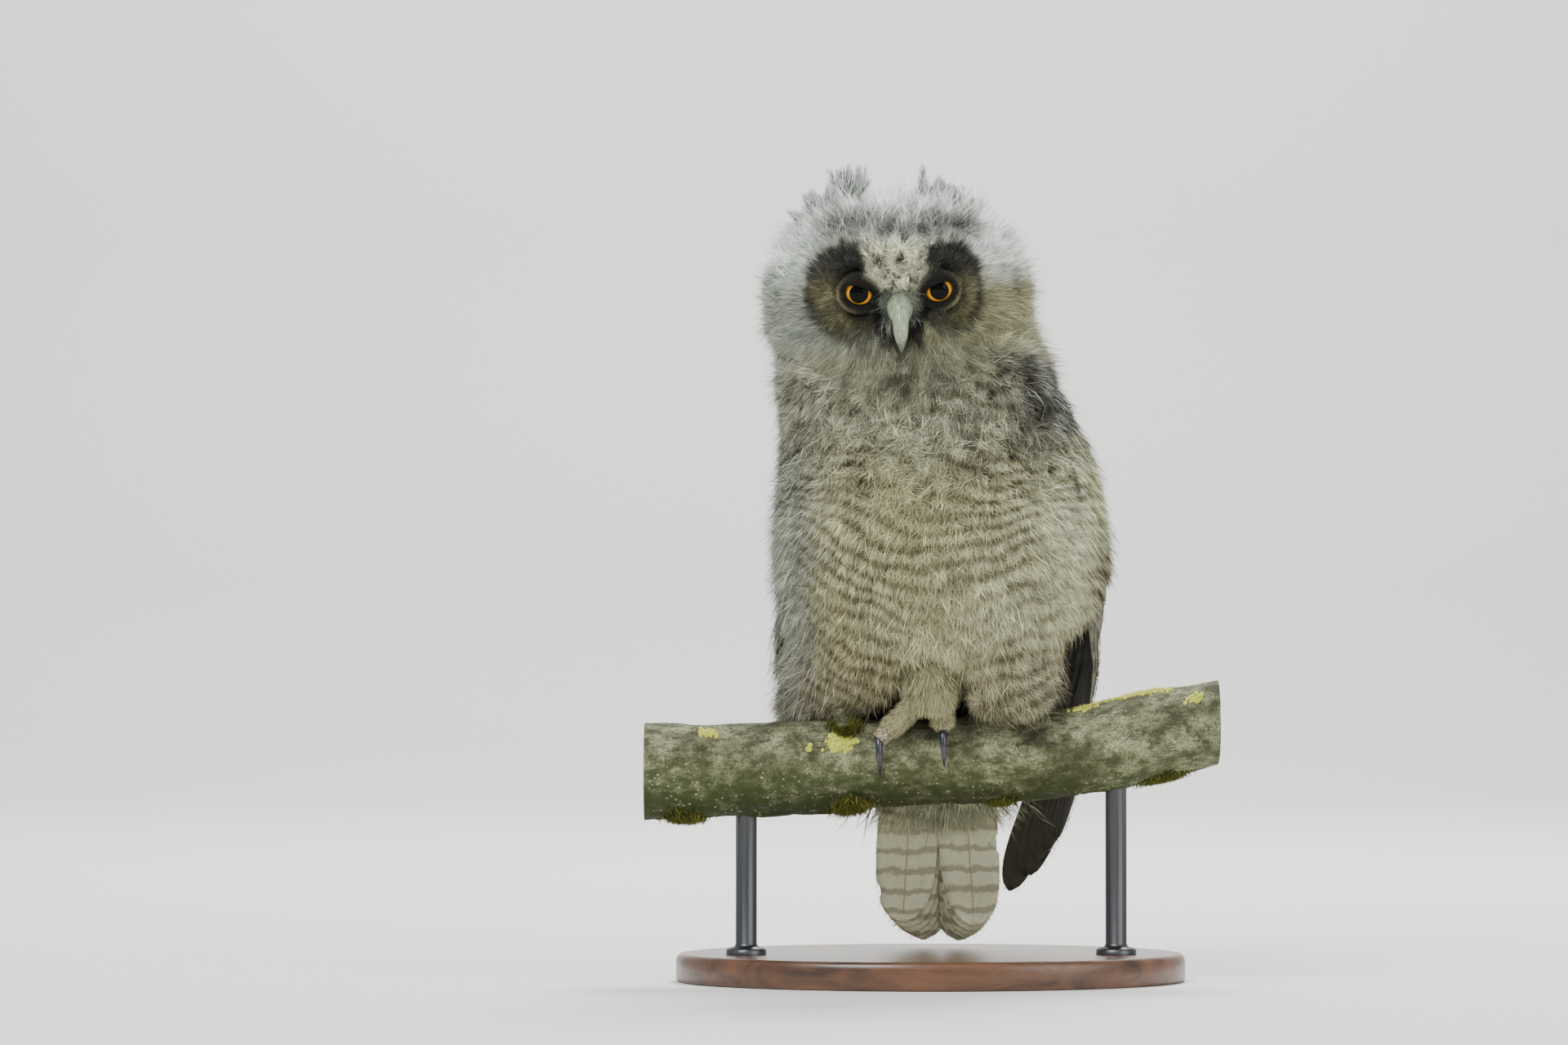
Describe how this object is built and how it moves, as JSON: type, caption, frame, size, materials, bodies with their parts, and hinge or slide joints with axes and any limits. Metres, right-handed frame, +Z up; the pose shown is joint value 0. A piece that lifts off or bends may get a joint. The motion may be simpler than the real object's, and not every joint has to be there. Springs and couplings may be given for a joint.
{
  "type": "fledgling long-eared owl model on a perch",
  "caption": "Life-size still model of a downy young long-eared owl standing on one foot on a cut branch that a flat display stand holds.",
  "frame": {"origin": "centre of the stand base's underside, on the floor", "axes": "+Z up, the bird looks along -Y, its left side is towards +X"},
  "size_m": [0.242, 0.16, 0.3432],
  "materials": {
    "bark": "rough grey-brown bark, dull",
    "base_wood": "dark satin varnish",
    "claw": "blue-black horn, semi-gloss",
    "down": "soft grey-buff natal down with fine wavy darker bars, matt",
    "eye": "wet gloss, orange-yellow iris",
    "feather": "grey-brown barred vanes, satin",
    "foot_down": "short tan feathering, matt",
    "horn": "smooth grey-green horn",
    "rod_steel": "dark satin"
  },
  "bodies": {
    "root": {"bill_lower": "horn", "bill_upper": "horn", "claw_hind": "claw", "claw_inner": "claw", "claw_left_1": "claw", "claw_left_2": "claw", "claw_left_3": "claw", "claw_middle": "claw", "claw_outer": "claw", "ear_tuft_left": "down", "ear_tuft_right": "down", "eye_left": "eye", "eye_right": "eye", "foot_left": "foot_down", "foot_right": "foot_down", "head": "down", "neck": "down", "perch": "bark", "stand_base": "base_wood", "stand_rod_left": "rod_steel", "stand_rod_right": "rod_steel", "tail": "feather", "tail_coverts": "down", "thigh_left": "down", "thigh_right": "down", "toe_hind": "foot_down", "toe_inner": "foot_down", "toe_middle": "foot_down", "toe_outer": "foot_down", "torso": "down", "wing_left": "feather", "wing_right": "feather"}
  },
  "joints": []
}
